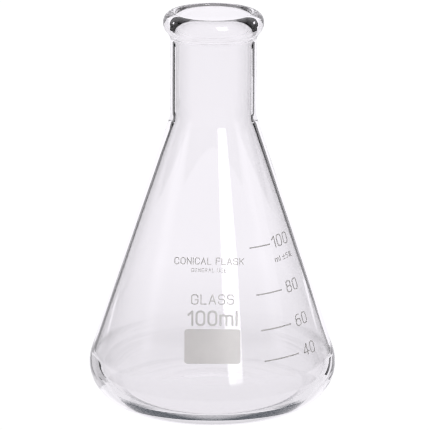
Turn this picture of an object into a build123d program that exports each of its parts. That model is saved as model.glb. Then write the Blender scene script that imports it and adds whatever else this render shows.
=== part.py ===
from build123d import *
import os
from math import cos, radians, sin, tan

# A 100 ml narrow-neck conical flask: one piece of blown glass, with markings of fired enamel
# standing slightly proud of its cone. Millimetres, +Z up the axis of the flask, origin at the
# centre of the base on the bench. The front, which carries the markings, faces -Y. Azimuths are
# degrees about +Z, zero at the front and positive towards +X.

# Driving dimensions of the glass
height = 105.0
body_radius = 32.75
neck_radius = 11.25
bead_radius = 13.15
cone_half_angle = 18.1
neck_wall = 1.3
cone_wall_top = 1.5
cone_wall_foot = 1.1
base_wall = 2.2

# Roundings of the glass
heel_radius = 9.9
inner_heel_radius = 9.0
shoulder_radius = 6.9
bead_top_radius = 2.65
bead_under_radius = 3.8
bead_foot_radius = 3.2
mouth_edge_radius = 0.5
dome_blend_radius = 30.0

# The bead's under side, and the push-up of the base inside its resting ring
bead_under_height = 4.22
bead_foot_angle = 42.0
push_up = 1.5
dome_flat_radius = 8.0
resting_ring_radius = 17.0

# Enamel
enamel_thickness = 0.08
print_reach = 4.0
enamel_low = 15.0
enamel_high = 50.0

# Marking spot, a matt panel to write on
spot_width = 14.5
spot_height = 8.94
spot_corner_radius = 0.8
spot_middle = 23.15

# Lines of lettering: where the middle of the line stands, its baseline and the height of its
# capitals, the width of its pen, the gap between its characters and how far they are widened
lettering_lines = {
    "capacity_mark": dict(
        text="100ml", azimuth=0.0, baseline=28.15, cap_height=4.05, pen=0.55, gap=0.52, widening=1.02
    ),
    "material_mark": dict(
        text="GLASS", azimuth=0.0, baseline=33.4, cap_height=2.7, pen=0.32, gap=0.46, widening=1.05
    ),
    "title_mark": dict(
        text="CONICAL FLASK", azimuth=-2.5, baseline=43.2, cap_height=1.9, pen=0.27, gap=0.26, widening=1.0
    ),
    "subtitle_mark": dict(
        text="GENERAL USE", azimuth=-2.5, baseline=41.35, cap_height=1.05, pen=0.15, gap=0.2, widening=1.0
    ),
    "tolerance_mark": dict(
        text="ml ±5%", azimuth=55.2, baseline=42.0, cap_height=1.45, pen=0.2, gap=0.36, widening=1.25
    ),
}

# The alphabet, on a grid of 6 units to the height of a capital. Each stroke gives the radius that
# its corners are bent to, and its corners. A closed bowl is two strokes.
grid_height = 6
word_space = 3
alphabet = {
    "0": ((1.6, (1.7, 6), (0, 6), (0, 0), (1.7, 0)), (1.6, (1.7, 6), (3.4, 6), (3.4, 0), (1.7, 0))),
    "1": ((0, (0, 4.5), (1.7, 6), (1.7, 0)),),
    "4": ((0, (2.8, 0), (2.8, 6), (0, 1.6)), (0, (0, 1.6), (3.8, 1.6))),
    "5": ((0, (3.2, 6), (0.2, 6), (0.2, 3.6)), (1.5, (0.2, 3.6), (3.5, 3.6), (3.5, 0), (0, 0))),
    "6": (
        (1.5, (1.7, 3.6), (0, 3.6), (0, 0), (1.7, 0)),
        (1.5, (1.7, 3.6), (3.4, 3.6), (3.4, 0), (1.7, 0)),
        (2, (0, 1.8), (0, 6), (2.9, 6)),
    ),
    "8": (
        (1.3, (1.7, 3.2), (0, 3.2), (0, 0), (1.7, 0)),
        (1.3, (1.7, 3.2), (3.4, 3.2), (3.4, 0), (1.7, 0)),
        (1.2, (1.7, 3.2), (0.2, 3.2), (0.2, 6), (1.7, 6)),
        (1.2, (1.7, 3.2), (3.2, 3.2), (3.2, 6), (1.7, 6)),
    ),
    "%": (
        (0, (0.6, 0), (3.8, 6)),
        (0.8, (0.9, 6), (0, 6), (0, 3.8), (0.9, 3.8)),
        (0.8, (0.9, 6), (1.8, 6), (1.8, 3.8), (0.9, 3.8)),
        (0.8, (3.5, 2.2), (2.6, 2.2), (2.6, 0), (3.5, 0)),
        (0.8, (3.5, 2.2), (4.4, 2.2), (4.4, 0), (3.5, 0)),
    ),
    "±": ((0, (0, 3.4), (3.6, 3.4)), (0, (1.8, 1.6), (1.8, 5.2)), (0, (0, 0), (3.6, 0))),
    "A": ((0, (0, 0), (2, 6), (4, 0)), (0, (0.7, 2), (3.3, 2))),
    "B": (
        (0, (0, 0), (0, 6)),
        (1.3, (0, 6), (3.3, 6), (3.3, 3.2), (0, 3.2)),
        (1.5, (0, 3.2), (3.7, 3.2), (3.7, 0), (0, 0)),
    ),
    "C": ((1.4, (3.9, 4.5), (3.9, 6), (0, 6), (0, 0), (3.9, 0), (3.9, 1.5)),),
    "E": ((0, (3.4, 6), (0, 6), (0, 0), (3.4, 0)), (0, (0, 3.1), (3, 3.1))),
    "F": ((0, (3.4, 6), (0, 6), (0, 0)), (0, (0, 3.1), (3, 3.1))),
    "G": (
        (1.4, (3.9, 4.5), (3.9, 6), (0, 6), (0, 0), (3.9, 0), (3.9, 2.8)),
        (0, (2.2, 2.8), (3.9, 2.8)),
    ),
    "I": ((0, (0, 0), (0, 6)),),
    "K": ((0, (0, 0), (0, 6)), (0, (3.7, 6), (0, 2.4)), (0, (1.4, 3.7), (3.8, 0))),
    "L": ((0, (0, 6), (0, 0), (3.2, 0)),),
    "N": ((0, (0, 0), (0, 6), (3.8, 0), (3.8, 6)),),
    "O": ((1.9, (2.1, 6), (0, 6), (0, 0), (2.1, 0)), (1.9, (2.1, 6), (4.2, 6), (4.2, 0), (2.1, 0))),
    "R": (
        (0, (0, 0), (0, 6)),
        (1.4, (0, 6), (3.5, 6), (3.5, 3), (0, 3)),
        (0, (1.9, 3), (3.7, 0)),
    ),
    "S": ((1.25, (3.6, 4.7), (3.6, 6), (0.1, 6), (0.1, 3.1), (3.7, 3.1), (3.7, 0), (0, 0), (0, 1.3)),),
    "U": ((1.8, (0, 6), (0, 0), (3.8, 0), (3.8, 6)),),
    "l": ((0, (0, 0), (0, 6)),),
    "m": (
        (0, (0, 0), (0, 4.3)),
        (1.2, (0, 3), (0, 4.3), (2.6, 4.3), (2.6, 0)),
        (1.2, (2.6, 3), (2.6, 4.3), (5.2, 4.3), (5.2, 0)),
    ),
}

# Graduations: volume in ml, height of the line, and the azimuths where its line starts and ends
# and where its number stands
graduations = (
    (100, 46.7, 26.6, 44.1, 55.8),
    (80, 35.0, 26.8, 45.7, 55.75),
    (60, 26.2, 26.8, 46.9, 56.3),
    (40, 18.6, 26.4, 47.7, 56.3),
)
graduation_line_width = 0.36
graduation_number_drop = 1.25
graduation_number = dict(cap_height=3.2, pen=0.32, gap=0.62, widening=1.15)

# Worked out from the above
slope = radians(cone_half_angle)
heel_middle = body_radius - heel_radius
cone_foot_radius = heel_middle + heel_radius * (1 + sin(slope)) / cos(slope)
shoulder_height = (cone_foot_radius - neck_radius) / tan(slope)
bore_radius = neck_radius - neck_wall
bore_cone_top_radius = neck_radius - cone_wall_top / cos(slope)
bore_cone_foot_radius = cone_foot_radius - cone_wall_foot / cos(slope)
bore_taper = (bore_cone_foot_radius - bore_cone_top_radius) / shoulder_height
inner_shoulder_height = (bore_cone_foot_radius - bore_radius) / bore_taper
inner_shoulder_radius = shoulder_radius + cone_wall_top
inner_heel_corner = bore_cone_foot_radius - base_wall * bore_taper
bead_under = height - bead_under_height
bead_foot = bead_under - (bead_radius - neck_radius) / tan(radians(bead_foot_angle))


def cone_radius(z):
    """Radius of the outside of the cone at height z."""
    return cone_foot_radius - z * tan(slope)


def cone_plane(azimuth, z):
    """Plane that touches the cone, its X to the right and its Y up the slope."""
    turn = radians(azimuth)
    return Plane(
        origin=(cone_radius(z) * sin(turn), -cone_radius(z) * cos(turn), z),
        x_dir=(cos(turn), sin(turn), 0),
        z_dir=(cos(slope) * sin(turn), -cos(slope) * cos(turn), sin(slope)),
    )


def section_plane(azimuth):
    """Upright plane through the axis, its X outward and its Y up."""
    turn = radians(azimuth)
    return Plane(
        origin=(0, 0, 0),
        x_dir=(sin(turn), -cos(turn), 0),
        z_dir=(-cos(turn), -sin(turn), 0),
    )


def enamel_section(azimuth, low, high):
    """Section of the enamel layer on the cone, from the height low to the height high."""
    rise = enamel_thickness * sin(slope)
    reach = enamel_thickness * cos(slope)
    with BuildSketch(section_plane(azimuth)) as section:
        with BuildLine():
            Polyline(
                (cone_radius(low), low),
                (cone_radius(low) + reach, low + rise),
                (cone_radius(high) + reach, high + rise),
                (cone_radius(high), high),
                close=True,
            )
        make_face()
    return section


def glyph(character, unit, pen, widening):
    """A character of the alphabet, in strokes as wide as the pen."""
    with BuildSketch(mode=Mode.PRIVATE) as drawn:
        for bend, *corners in alphabet[character]:
            points = [(x * unit * widening, y * unit) for x, y in corners]
            with BuildLine():
                if bend:
                    FilletPolyline(*points, radius=bend * unit)
                else:
                    Polyline(*points)
                offset(amount=pen / 2)
            make_face()
    return drawn.sketch


def lettering(text, azimuth, baseline, cap_height, pen, gap, widening):
    """Flat artwork of a line of text, in the plane that touches the cone at its middle."""
    unit = (cap_height - pen) / grid_height
    glyphs = []
    end = 0.0
    for character in text:
        if character == " ":
            end += word_space * unit
            continue
        drawn = glyph(character, unit, pen, widening)
        box = drawn.bounding_box()
        glyphs.append(Pos(end - box.min.X, pen / 2) * drawn)
        end += box.size.X + gap
    middle = (end - gap) / 2
    with BuildSketch(cone_plane(azimuth, baseline)) as artwork:
        with Locations((-middle, 0)):
            for drawn in glyphs:
                add(drawn)
    return artwork


def enamel_print(artwork, name):
    """Fires a flat artwork onto the cone, as a layer of enamel, and writes it."""
    layer = enamel_section(0, enamel_low, enamel_high)
    with BuildPart() as mark:
        extrude(artwork.sketch, amount=print_reach, both=True)
        revolve(layer.sketch, axis=Axis.Z, mode=Mode.INTERSECT)
    mark.part.label = name
    export_step(mark.part, f"parts/{name}.step")


os.makedirs("parts", exist_ok=True)

# Flask: one wall of glass from the base to the bead, as a solid of revolution
with BuildPart() as glass_flask:
    with BuildSketch(Plane.XZ):
        with BuildLine():
            wall = FilletPolyline(
                (0, push_up),
                (dome_flat_radius, push_up),
                (resting_ring_radius, 0),
                (cone_foot_radius, 0),
                (neck_radius, shoulder_height),
                (neck_radius, bead_foot),
                (bead_radius, bead_under),
                (bead_radius, height),
                (bore_radius, height),
                (bore_radius, inner_shoulder_height),
                (inner_heel_corner, base_wall),
                (resting_ring_radius, base_wall),
                (dome_flat_radius, push_up + base_wall),
                (0, push_up + base_wall),
                radius=[
                    dome_blend_radius,
                    dome_blend_radius,
                    heel_radius,
                    shoulder_radius,
                    bead_foot_radius,
                    bead_under_radius,
                    bead_top_radius,
                    mouth_edge_radius,
                    inner_shoulder_radius,
                    inner_heel_radius,
                    dome_blend_radius,
                    dome_blend_radius,
                ],
            )
            Line(wall @ 1, wall @ 0)
        make_face()
    revolve(axis=Axis.Z)
glass_flask.part.label = "glass_flask"
export_step(glass_flask.part, "parts/glass_flask.step")

# Marking spot
with BuildSketch(cone_plane(0, spot_middle)) as spot:
    RectangleRounded(spot_width, spot_height, spot_corner_radius)
enamel_print(spot, "marking_spot")

# Lettering
for name, line in lettering_lines.items():
    enamel_print(lettering(**line), name)

# Graduations: a line around part of the cone, with its number to the right
for volume, line_height, start, end, number_azimuth in graduations:
    half = graduation_line_width * cos(slope) / 2
    band = enamel_section(start, line_height - half, line_height + half)
    with BuildPart() as graduation:
        revolve(band.sketch, axis=Axis.Z, revolution_arc=end - start)
    graduation.part.label = f"graduation_line_{volume}"
    export_step(graduation.part, f"parts/graduation_line_{volume}.step")

    number = lettering(
        str(volume),
        number_azimuth,
        line_height - graduation_number_drop,
        **graduation_number,
    )
    enamel_print(number, f"graduation_number_{volume}")
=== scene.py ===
from math import atan2, cos, pi, radians, sin, tan

import bmesh
import bpy
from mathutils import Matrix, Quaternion, Vector


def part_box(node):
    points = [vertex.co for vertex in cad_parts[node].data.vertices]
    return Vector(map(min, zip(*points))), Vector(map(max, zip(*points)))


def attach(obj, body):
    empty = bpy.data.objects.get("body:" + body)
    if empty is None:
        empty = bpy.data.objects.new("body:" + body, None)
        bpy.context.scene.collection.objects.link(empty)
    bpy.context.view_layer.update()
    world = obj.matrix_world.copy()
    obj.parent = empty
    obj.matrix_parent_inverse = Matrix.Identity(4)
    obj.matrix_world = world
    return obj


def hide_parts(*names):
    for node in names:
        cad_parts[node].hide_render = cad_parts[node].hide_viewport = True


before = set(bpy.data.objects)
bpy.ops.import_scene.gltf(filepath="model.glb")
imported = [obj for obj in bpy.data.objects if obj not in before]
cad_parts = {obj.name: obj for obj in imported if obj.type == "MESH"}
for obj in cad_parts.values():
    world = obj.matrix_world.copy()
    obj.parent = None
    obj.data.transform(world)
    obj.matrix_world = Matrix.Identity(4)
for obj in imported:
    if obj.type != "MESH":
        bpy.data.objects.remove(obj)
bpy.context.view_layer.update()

MM = 0.001

# The flask's driving dimensions, in metres
BODY_RADIUS = 32.75 * MM
NECK_RADIUS = 11.25 * MM
BEAD_RADIUS = 13.15 * MM
CONE_HALF_ANGLE = radians(18.1)
NECK_WALL = 1.3 * MM
CONE_WALL_TOP = 1.5 * MM
CONE_WALL_FOOT = 1.1 * MM
BASE_WALL = 2.2 * MM
HEEL_RADIUS = 9.9 * MM
INNER_HEEL_RADIUS = 9.0 * MM
SHOULDER_RADIUS = 6.9 * MM
BEAD_TOP_RADIUS = 2.65 * MM
BEAD_UNDER_RADIUS = 3.8 * MM
BEAD_FOOT_RADIUS = 3.2 * MM
MOUTH_EDGE_RADIUS = 0.5 * MM
DOME_BLEND_RADIUS = 30.0 * MM
BEAD_UNDER_HEIGHT = 4.22 * MM
BEAD_FOOT_ANGLE = radians(42.0)
PUSH_UP = 1.5 * MM
DOME_FLAT_RADIUS = 8.0 * MM
RESTING_RING_RADIUS = 17.0 * MM
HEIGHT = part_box("glass_flask")[1].z

# How finely the glass is meshed
SEGMENTS = 320
ARC_STEP = radians(3.0)
LINE_STEP = 1.2 * MM
ON_AXIS = 1e-9

# The camera, whose lens and sensor are in millimetres
LENS, SENSOR_WIDTH = 292.6, 36.0
CAMERA_SHIFT = 0.0049
CAMERA_CLIP_START = 0.05
CAMERA_PLACE = (0, -0.8855, 0.3068)
CAMERA_TARGET = (0, 0, 0.0501)
CAMERA_ROLL = radians(0.2)

# Glass
GLASS_COLOUR = (1.0, 0.995, 1.0, 1)
GLASS_IOR = 1.473
GLASS_WAVE_SCALE, GLASS_WAVE_STRETCH, GLASS_WAVE_DEPTH = 90, 0.45, 0.03 * MM

# Enamel: each pair of colours is for its thin and its thick places
SPOT_COLOURS = (0.73, 0.7, 0.705, 1), (0.64, 0.615, 0.62, 1)
LETTER_COLOURS = (0.66, 0.64, 0.645, 1), (0.54, 0.525, 0.53, 1)
SCALE_COLOURS = (0.52, 0.5, 0.505, 1), (0.42, 0.405, 0.41, 1)
ENAMEL_CLOUD_SCALE, ENAMEL_CLOUD_DETAIL = 260, 3.0
ENAMEL_GRAIN_SCALE, ENAMEL_GRAIN_DETAIL, ENAMEL_GRAIN_DEPTH = 5200, 2.0, 0.006 * MM
ENAMEL_ROUGHNESS = (0.26, 0.44)
LETTERING = ("capacity_mark", "material_mark", "title_mark", "subtitle_mark")

# The studio's colours
WHITE = (1, 1, 1, 1)
FLOOR_COLOUR = (1.03, 1.03, 1.03, 1)
SWEEP_COLOUR = (1.0, 0.98, 1.025, 1)
# The deep blue of the painted contact shadow under the heel
CONTACT_SHADOW_BLUE = (0.006, 0.02, 0.035, 1)
BACKDROP_STRENGTH = 1.05

# The floor, and the shade on it round the flask
FLOOR_REACH = 4
SHADE_INNER, SHADE_OUTER, SHADE_DEPTH = 24 * MM, 130 * MM, 0.16

# The room round the flask: distances and heights in metres, azimuths in degrees from the back (+Y) towards +X
WALL_DISTANCE, WALL_HEIGHT = 2.0, 0.35
CLOTH_REACH, CLOTH_HEIGHT, GAP_HEIGHT = 1.95, 0.1 * MM, 0.2 * MM
CLOTH_STEPS = 40
DEGREES_PER_FACE = 4
SIDE_AZIMUTH = 99
FRONT_CLOTH_START = 0.038

# How bright each kind of cloth and curtain looks by way of a reflection
ROOM_KINDS = {"dark": 0.0, "grey": 0.25, "dim": 0.6}

# The inner edge of the dark cloth on the floor at either side, as (distance, azimuth) points
LEFT_EDGE = [
    (0.07, -40.5),
    (0.1, -36.5),
    (0.14, -29.5),
    (0.18, -26),
    (0.24, -26),
    (0.35, -26.3),
    (0.65, -29),
    (1.1, -33.5),
    (CLOTH_REACH, -36),
]
RIGHT_EDGE = [
    (0.07, 44),
    (0.1, 41),
    (0.14, 36.5),
    (0.2, 27.5),
    (0.3, 23.5),
    (0.38, 24.5),
    (0.5, 24),
    (0.9, 26.5),
    (CLOTH_REACH, 29),
]

# White gaps in the cloth, as name, near and far (distance, first azimuth) points, and last azimuth
GAPS = [
    ("left_gap", (0.3, -43.5), (0.42, -43.5), -50),
    ("right_gap", (0.29, 37), (0.36, 37), 48),
    ("right_far_gap", (0.36, 39.5), (0.41, 41.5), 48),
]

# Curtains in front of the far wall, as name, first and last azimuth, heights of foot and top, and kind
CURTAINS = [
    ("side_and_front", 35, 325, 0, WALL_HEIGHT, "dark"),
    ("tall_left", -100, -60, 0.52, 0.71, "dark"),
    ("tall_right", 35, 100, WALL_HEIGHT, 0.96, "dim"),
    ("top_right", 50, 100, 0.96, 1.1, "dark"),
]

# Low cards under the heel, a painted contact shadow that draws the dark arcs along the bottom of the glass
COLLAR_INNER, COLLAR_OUTER, COLLAR_COUNT = 25.9 * MM, 28.3 * MM, 7
COLLAR_HEIGHT, COLLAR_RISE = 0.36 * MM, 0.6 * MM
CRESCENT_INNER, CRESCENT_OUTER, CRESCENT_COUNT = 28.6 * MM, 29.7 * MM, 4
CRESCENT_HEIGHT, CRESCENT_STEPS = 0.7 * MM, 12
CRESCENT_SPANS = {"left": (-112, -148), "right": (118, 144)}
BACKING_DISTANCE = 0.02 * MM

# In a reflection the world turns from dark in front to white at the back, between two values of the Y of a
# ray's direction: near the horizon, higher up, and higher up from inside the glass. The last pair holds the
# values of Z between which the low ramp gives way to the high ones.
LOW_BACK = (0.55, 0.75)
HIGH_BACK = (0.0, 0.6)
HIGH_BACK_FROM_INSIDE = (-0.5, -0.2)
LOW_TO_HIGH = (0.16, 0.22)

# The strip light
STRIP_AZIMUTH, STRIP_ELEVATION, STRIP_DISTANCE = radians(22.5), radians(37.4), 0.9
STRIP_TARGET = (0, 0, 0.05)
STRIP_HEIGHT, STRIP_WIDTH, STRIP_FOOT_WIDTH = 0.72, 0.37, 0.17
STRIP_TAPER, STRIP_SOFTNESS, STRIP_STRENGTH = 0.12, 0.12, 7.5
STRIP_ROWS = 24

PIXEL_FILTER_WIDTH = 1.2
LIGHT_BOUNCES = 64


# ---- camera ----

def aim(obj, place, target, roll=0.0):
    obj.location = place
    turn = (Vector(target) - Vector(place)).to_track_quat("-Z", "Y")
    obj.rotation_mode = "QUATERNION"
    obj.rotation_quaternion = turn @ Quaternion((0, 0, 1), roll)


camera_data = bpy.data.cameras.new("camera")
camera_data.lens = LENS
camera_data.sensor_width = SENSOR_WIDTH
camera_data.shift_x = CAMERA_SHIFT
camera_data.clip_start = CAMERA_CLIP_START
camera = bpy.data.objects.new("camera", camera_data)
bpy.context.scene.collection.objects.link(camera)
aim(camera, CAMERA_PLACE, CAMERA_TARGET, CAMERA_ROLL)
bpy.context.scene.camera = camera


# ---- shader nodes ----

def connect(tree, socket, value):
    """Gives an input another node's output, or a plain value."""
    if isinstance(value, bpy.types.NodeSocket):
        tree.links.new(value, socket)
    else:
        socket.default_value = value


def calculate(tree, operation, *values):
    node = tree.nodes.new("ShaderNodeMath")
    node.operation = operation
    for socket, value in zip(node.inputs, values):
        connect(tree, socket, value)
    return node.outputs[0]


def ramp(tree, value, start=0.0, end=1.0, low=0.0, high=1.0, shape="LINEAR"):
    """Takes the range from start to end to the range from low to high."""
    node = tree.nodes.new("ShaderNodeMapRange")
    node.interpolation_type = shape
    node.inputs["From Min"].default_value = start
    node.inputs["From Max"].default_value = end
    node.inputs["To Min"].default_value = low
    node.inputs["To Max"].default_value = high
    connect(tree, node.inputs["Value"], value)
    return node.outputs[0]


def mix(tree, factor, first, second, data_type="FLOAT"):
    node = tree.nodes.new("ShaderNodeMix")
    node.data_type = data_type
    connect(tree, node.inputs["Factor"], factor)
    connect(tree, node.inputs["A"], first)
    connect(tree, node.inputs["B"], second)
    return node.outputs["Result"]


def noise(tree, place, scale, detail):
    node = tree.nodes.new("ShaderNodeTexNoise")
    node.inputs["Scale"].default_value = scale
    node.inputs["Detail"].default_value = detail
    connect(tree, node.inputs["Vector"], place)
    return node.outputs["Fac"]


def bump(tree, height, distance, shader):
    node = tree.nodes.new("ShaderNodeBump")
    node.inputs["Strength"].default_value = 1.0
    node.inputs["Distance"].default_value = distance
    connect(tree, node.inputs["Height"], height)
    connect(tree, shader.inputs["Normal"], node.outputs[0])


def object_place(tree):
    return tree.nodes.new("ShaderNodeTexCoord").outputs["Object"]


def light_path(tree, output):
    return tree.nodes.new("ShaderNodeLightPath").outputs[output]


def none_so_far(tree, depth):
    """1 on a ray whose depth of the given kind is still 0, and 0 on every other ray."""
    return calculate(tree, "LESS_THAN", light_path(tree, depth), 0.5)


def surface_material(name):
    material = bpy.data.materials.new(name)
    material.use_nodes = True
    return material, material.node_tree, material.node_tree.nodes["Principled BSDF"]


def emission_material(name, colour):
    """A material that only shines, with its tree and the input that sets how strongly."""
    material = bpy.data.materials.new(name)
    material.use_nodes = True
    tree = material.node_tree
    tree.nodes.remove(tree.nodes["Principled BSDF"])
    light = tree.nodes.new("ShaderNodeEmission")
    light.inputs["Color"].default_value = colour
    tree.links.new(light.outputs[0], tree.nodes["Material Output"].inputs["Surface"])
    return material, tree, light.inputs["Strength"]


# ---- glass ----

def straight(outline, end):
    """Adds points along the straight from the outline's last point to end."""
    start = outline[-1]
    steps = max(1, round((end - start).length / LINE_STEP))
    for k in range(1, steps + 1):
        outline.append(start.lerp(end, k / steps))


def rounded_outline(corners):
    """Points (distance from the axis, height) along corners that each have a rounding radius."""
    points = [Vector(corner[:2]) for corner in corners]
    outline = [points[0]]
    for i in range(1, len(points) - 1):
        before = (points[i - 1] - points[i]).normalized()
        after = (points[i + 1] - points[i]).normalized()
        radius = corners[i][2]
        half = before.angle(after) / 2
        reach = radius / tan(half)
        middle = points[i] + (before + after).normalized() * (radius / sin(half))
        start = points[i] + before * reach
        end = points[i] + after * reach
        straight(outline, start)
        first = atan2(start.y - middle.y, start.x - middle.x)
        turn = atan2(end.y - middle.y, end.x - middle.x) - first
        turn = (turn + pi) % (2 * pi) - pi
        steps = max(2, round(abs(turn) / ARC_STEP))
        for k in range(1, steps + 1):
            angle = first + turn * k / steps
            outline.append(middle + radius * Vector((cos(angle), sin(angle))))
    straight(outline, points[-1])
    return outline


def flask_outline():
    """The section of the glass, up the outside from the middle of the base and back down the inside."""
    slope = CONE_HALF_ANGLE
    cone_foot = BODY_RADIUS - HEEL_RADIUS + HEEL_RADIUS * (1 + sin(slope)) / cos(slope)
    shoulder = (cone_foot - NECK_RADIUS) / tan(slope)
    bore = NECK_RADIUS - NECK_WALL
    bore_foot = cone_foot - CONE_WALL_FOOT / cos(slope)
    bore_taper = (bore_foot - NECK_RADIUS + CONE_WALL_TOP / cos(slope)) / shoulder
    inner_shoulder = (bore_foot - bore) / bore_taper
    bead_under = HEIGHT - BEAD_UNDER_HEIGHT
    bead_foot = bead_under - (BEAD_RADIUS - NECK_RADIUS) / tan(BEAD_FOOT_ANGLE)
    return rounded_outline([
        (0, PUSH_UP, 0),
        (DOME_FLAT_RADIUS, PUSH_UP, DOME_BLEND_RADIUS),
        (RESTING_RING_RADIUS, 0, DOME_BLEND_RADIUS),
        (cone_foot, 0, HEEL_RADIUS),
        (NECK_RADIUS, shoulder, SHOULDER_RADIUS),
        (NECK_RADIUS, bead_foot, BEAD_FOOT_RADIUS),
        (BEAD_RADIUS, bead_under, BEAD_UNDER_RADIUS),
        (BEAD_RADIUS, HEIGHT, BEAD_TOP_RADIUS),
        (bore, HEIGHT, MOUTH_EDGE_RADIUS),
        (bore, inner_shoulder, SHOULDER_RADIUS + CONE_WALL_TOP),
        (bore_foot - BASE_WALL * bore_taper, BASE_WALL, INNER_HEEL_RADIUS),
        (RESTING_RING_RADIUS, BASE_WALL, DOME_BLEND_RADIUS),
        (DOME_FLAT_RADIUS, PUSH_UP + BASE_WALL, DOME_BLEND_RADIUS),
        (0, PUSH_UP + BASE_WALL, 0),
    ])


def ring(mesh, radius, height):
    """A ring of vertices about the axis, or a single one where the radius is 0."""
    if radius < ON_AXIS:
        return [mesh.verts.new((0, 0, height))]
    turns = [2 * pi * k / SEGMENTS for k in range(SEGMENTS)]
    return [mesh.verts.new((radius * sin(turn), -radius * cos(turn), height)) for turn in turns]


def revolved(name, outline):
    """A closed solid of revolution from an outline that starts and ends on the axis."""
    mesh = bmesh.new()
    rings = [ring(mesh, point.x, point.y) for point in outline]
    for low, high in zip(rings, rings[1:]):
        for k in range(SEGMENTS):
            n = (k + 1) % SEGMENTS
            if len(low) == 1:
                mesh.faces.new((low[0], high[k], high[n]))
            elif len(high) == 1:
                mesh.faces.new((low[n], low[k], high[0]))
            else:
                mesh.faces.new((low[n], low[k], high[k], high[n]))
    bmesh.ops.recalc_face_normals(mesh, faces=mesh.faces)
    for face in mesh.faces:
        face.smooth = True
    data = bpy.data.meshes.new(name)
    mesh.to_mesh(data)
    mesh.free()
    obj = bpy.data.objects.new(name, data)
    bpy.context.scene.collection.objects.link(obj)
    return obj


def glass_material():
    """Clear glass with the faint waves that blowing leaves, longer along the axis than round it."""
    material, tree, shader = surface_material("borosilicate_glass")
    shader.inputs["Base Color"].default_value = GLASS_COLOUR
    shader.inputs["Roughness"].default_value = 0.0
    shader.inputs["IOR"].default_value = GLASS_IOR
    shader.inputs["Transmission Weight"].default_value = 1.0
    drawn = tree.nodes.new("ShaderNodeMapping")
    drawn.inputs["Scale"].default_value = (1, 1, GLASS_WAVE_STRETCH)
    connect(tree, drawn.inputs["Vector"], object_place(tree))
    waves = noise(tree, drawn.outputs[0], GLASS_WAVE_SCALE, 0.0)
    bump(tree, waves, GLASS_WAVE_DEPTH, shader)
    return material


flask = revolved("flask_glass", flask_outline())
flask.data.materials.append(glass_material())
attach(flask, "root")
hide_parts("glass_flask")


# ---- enamel ----

def enamel_material(name, thin, thick):
    """Matt fired enamel: a fine grain, thin and thick places, and a slightly uneven sheen."""
    material, tree, shader = surface_material(name)
    place = object_place(tree)
    clouds = noise(tree, place, ENAMEL_CLOUD_SCALE, ENAMEL_CLOUD_DETAIL)
    grain = noise(tree, place, ENAMEL_GRAIN_SCALE, ENAMEL_GRAIN_DETAIL)
    sheen = ramp(tree, grain, low=ENAMEL_ROUGHNESS[0], high=ENAMEL_ROUGHNESS[1])
    connect(tree, shader.inputs["Base Color"], mix(tree, clouds, thick, thin, "RGBA"))
    connect(tree, shader.inputs["Roughness"], sheen)
    bump(tree, grain, ENAMEL_GRAIN_DEPTH, shader)
    return material


spot_enamel = enamel_material("spot_enamel", *SPOT_COLOURS)
letter_enamel = enamel_material("letter_enamel", *LETTER_COLOURS)
scale_enamel = enamel_material("scale_enamel", *SCALE_COLOURS)
for name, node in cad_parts.items():
    if name == "glass_flask":
        continue
    enamel = letter_enamel if name in LETTERING else scale_enamel
    node.data.materials.clear()
    node.data.materials.append(spot_enamel if name == "marking_spot" else enamel)


# ---- stage: the floor ----

def card(name, corners, faces, material):
    data = bpy.data.meshes.new(name)
    data.from_pydata(corners, [], faces)
    data.materials.append(material)
    obj = bpy.data.objects.new(name, data)
    bpy.context.scene.collection.objects.link(obj)
    return obj


def floor_card(name, material):
    corners = [(x * FLOOR_REACH, y * FLOOR_REACH, 0) for x, y in ((-1, -1), (1, -1), (1, 1), (-1, 1))]
    return card(name, corners, [(0, 1, 2, 3)], material)


def seen_through_glass_only(obj):
    obj.visible_camera = False
    obj.visible_diffuse = False
    obj.visible_glossy = False
    obj.visible_shadow = False


def shaded_material():
    """The white sweep, a little darker round the foot of the flask."""
    material, tree, strength = emission_material("shaded_floor", SWEEP_COLOUR)
    length = tree.nodes.new("ShaderNodeVectorMath")
    length.operation = "LENGTH"
    connect(tree, length.inputs[0], object_place(tree))
    distance = length.outputs["Value"]
    connect(tree, strength, ramp(tree, distance, SHADE_INNER, SHADE_OUTER, low=1 - SHADE_DEPTH))
    return material


floor = floor_card("floor", emission_material("white_floor", FLOOR_COLOUR)[0])
floor.visible_glossy = False
floor.visible_transmission = False

shaded = shaded_material()
seen_through_glass_only(floor_card("floor_under_glass", shaded))


# ---- stage: the dark room at the sides and in front ----

def room_material(name, least):
    """White to rays that go straight through the glass, and only as bright as least to reflected ones."""
    material, tree, strength = emission_material(name, SWEEP_COLOUR)
    connect(tree, strength, ramp(tree, light_path(tree, "Glossy Depth"), low=1.0, high=least))
    return material


def arc(first, last, radius, height, steps=None):
    """Points on a level arc about the axis between two azimuths, every few degrees or in so many steps."""
    steps = max(1, round(abs(last - first) / DEGREES_PER_FACE)) if steps is None else steps
    turns = [radians(first + (last - first) * k / steps) for k in range(steps + 1)]
    return [(radius * sin(turn), radius * cos(turn), height) for turn in turns]


def band(name, low, high, material):
    """A strip of faces between two rows of points."""
    n = len(low)
    faces = [(k, k + 1, n + k + 1, n + k) for k in range(n - 1)]
    seen_through_glass_only(card(name, low + high, faces, material))


def patch(name, near, far, last, height, material, steps=None):
    """A level patch from two (distance, azimuth) points round to the azimuth last."""
    near_row = arc(near[1], last, near[0], height, steps)
    far_row = arc(far[1], last, far[0], height, steps)
    band(name, near_row, far_row, material)


def cloth(name, edge, last, material):
    """Cloth on the floor, from an edge of (distance, azimuth) points round to the azimuth last."""
    for i, (near, far) in enumerate(zip(edge, edge[1:])):
        patch(f"{name}_cloth_{i}", near, far, last, CLOTH_HEIGHT, material, CLOTH_STEPS)


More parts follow.
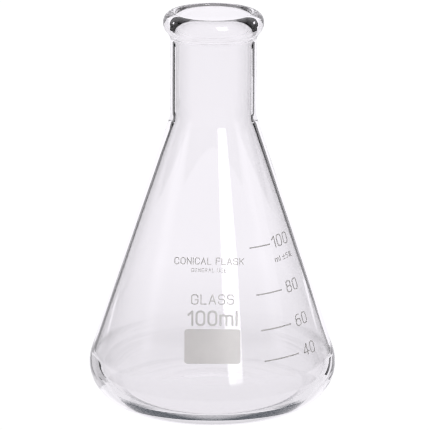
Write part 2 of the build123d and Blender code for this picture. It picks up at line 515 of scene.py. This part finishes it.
rooms = {kind: room_material(f"{kind}_room", least) for kind, least in ROOM_KINDS.items()}
cloth("left", LEFT_EDGE, -SIDE_AZIMUTH, rooms["dark"])
cloth("right", RIGHT_EDGE, SIDE_AZIMUTH, rooms["dark"])
for name, near, far, last in GAPS:
    patch(name, near, far, last, GAP_HEIGHT, shaded)
front_edge = [(FRONT_CLOTH_START, SIDE_AZIMUTH), (CLOTH_REACH, SIDE_AZIMUTH)]
cloth("front", front_edge, 360 - SIDE_AZIMUTH, rooms["grey"])
for name, first, last, low, high, kind in CURTAINS:
    foot = arc(first, last, CLOTH_REACH, low)
    top = arc(first, last, CLOTH_REACH, high)
    band(f"{name}_curtain", foot, top, rooms[kind])


# ---- stage: the cards under the heel, which paint its contact shadow ----

def spaced(first, last, count):
    return [first + (last - first) * i / (count - 1) for i in range(count)]


def collar(name, radius, material):
    """A low ring under the heel, tallest at its four diagonals."""
    foot = arc(0, 360, radius, 0)
    top = [(x, y, COLLAR_HEIGHT + COLLAR_RISE * sin(2 * atan2(x, -y)) ** 2) for x, y, z in foot]
    band(name, foot, top, material)


def crescent(name, first, last, radius, material):
    """A low strip beside the collars, tallest at its middle."""
    foot = arc(first, last, radius, 0, CRESCENT_STEPS)
    rise = [CRESCENT_HEIGHT * sin(pi * k / CRESCENT_STEPS) for k in range(CRESCENT_STEPS + 1)]
    top = [(x, y, height) for (x, y, z), height in zip(foot, rise)]
    band(name, foot, top, material)


# Dark cards that paint the contact shadow under the heel
contact_shadow_card = emission_material("painted_contact_shadow_card", CONTACT_SHADOW_BLUE)[0]
for i, radius in enumerate(spaced(COLLAR_INNER, COLLAR_OUTER, COLLAR_COUNT)):
    collar(f"contact_shade_{i}", radius, contact_shadow_card)
    collar(f"contact_white_{i}", radius - BACKING_DISTANCE, shaded)

for side, (first, last) in CRESCENT_SPANS.items():
    for i, radius in enumerate(spaced(CRESCENT_INNER, CRESCENT_OUTER, CRESCENT_COUNT)):
        crescent(f"{side}_crescent_shade_{i}", first, last, radius, contact_shadow_card)
        crescent(f"{side}_crescent_white_{i}", first, last, radius - BACKING_DISTANCE, shaded)


# ---- stage: the far wall and the world ----

def studio_world():
    """White to the camera and through the glass; in a reflection, bright at the back and dark in front."""
    world = bpy.data.worlds.new("studio")
    world.use_nodes = True
    tree = world.node_tree
    direction = tree.nodes.new("ShaderNodeSeparateXYZ")
    connect(tree, direction.inputs[0], tree.nodes.new("ShaderNodeTexCoord").outputs["Generated"])

    def rise(axis, span):
        return ramp(tree, direction.outputs[axis], *span, shape="SMOOTHSTEP")

    outside = none_so_far(tree, "Transmission Depth")
    high = mix(tree, outside, rise("Y", HIGH_BACK_FROM_INSIDE), rise("Y", HIGH_BACK))
    reflected = mix(tree, rise("Z", LOW_TO_HIGH), rise("Y", LOW_BACK), high)
    backdrop = calculate(tree, "MULTIPLY", light_path(tree, "Is Camera Ray"), BACKDROP_STRENGTH)
    unreflected = none_so_far(tree, "Glossy Depth")
    through = calculate(tree, "MULTIPLY", unreflected, light_path(tree, "Is Transmission Ray"))
    seen = calculate(tree, "MAXIMUM", reflected, backdrop)
    background = tree.nodes["Background"]
    background.inputs["Color"].default_value = SWEEP_COLOUR
    connect(tree, background.inputs["Strength"], calculate(tree, "MAXIMUM", seen, through))
    return world


band(
    "far_wall",
    arc(0, 360, WALL_DISTANCE, 0),
    arc(0, 360, WALL_DISTANCE, WALL_HEIGHT),
    emission_material("white_wall", SWEEP_COLOUR)[0],
)
bpy.context.scene.world = studio_world()


# ---- stage: the strip light ----

def soft_edge(tree, value, width):
    """A factor that rises from 0 at either end of the range 0 to 1 over the given width."""
    middle = 0.5
    distance = calculate(tree, "ABSOLUTE", calculate(tree, "SUBTRACT", value, middle))
    return ramp(tree, distance, middle, middle - width, shape="SMOOTHSTEP")


def strip_material():
    """Light that fades towards the strip's edges and shows only in the glass's outer surface."""
    material, tree, strength = emission_material("strip_light", WHITE)
    place = tree.nodes.new("ShaderNodeSeparateXYZ")
    connect(tree, place.inputs[0], tree.nodes.new("ShaderNodeUVMap").outputs[0])
    across = soft_edge(tree, place.outputs["X"], STRIP_SOFTNESS)
    up = soft_edge(tree, place.outputs["Y"], STRIP_SOFTNESS / 2)
    light = calculate(tree, "MULTIPLY", calculate(tree, "MULTIPLY", across, up), STRIP_STRENGTH)
    outside = none_so_far(tree, "Transmission Depth")
    connect(tree, strength, calculate(tree, "MULTIPLY", outside, light))
    return material


def strip_light():
    """A tall soft light whose foot is narrower than the rest."""
    corners, places = [], []
    for k in range(STRIP_ROWS + 1):
        up = k / STRIP_ROWS
        width = STRIP_FOOT_WIDTH + (STRIP_WIDTH - STRIP_FOOT_WIDTH) * min(1, up / STRIP_TAPER)
        for side in (-0.5, 0.5):
            corners.append((side * width, (up - 0.5) * STRIP_HEIGHT, 0))
            places.append((side + 0.5, up))
    faces = [(2 * k, 2 * k + 1, 2 * k + 3, 2 * k + 2) for k in range(STRIP_ROWS)]
    obj = card("strip_light", corners, faces, strip_material())
    layer = obj.data.uv_layers.new(name="across_and_up")
    for loop in obj.data.loops:
        layer.data[loop.index].uv = places[loop.vertex_index]
    level = cos(STRIP_ELEVATION)
    direction = Vector((sin(STRIP_AZIMUTH) * level, -cos(STRIP_AZIMUTH) * level, sin(STRIP_ELEVATION)))
    aim(obj, STRIP_DISTANCE * direction, STRIP_TARGET)
    obj.visible_camera = False


strip_light()

scene = bpy.context.scene
scene.view_settings.view_transform = "Standard"
scene.cycles.use_denoising = True
scene.cycles.filter_width = PIXEL_FILTER_WIDTH
scene.cycles.max_bounces = LIGHT_BOUNCES
scene.cycles.transmission_bounces = LIGHT_BOUNCES
scene.cycles.glossy_bounces = LIGHT_BOUNCES
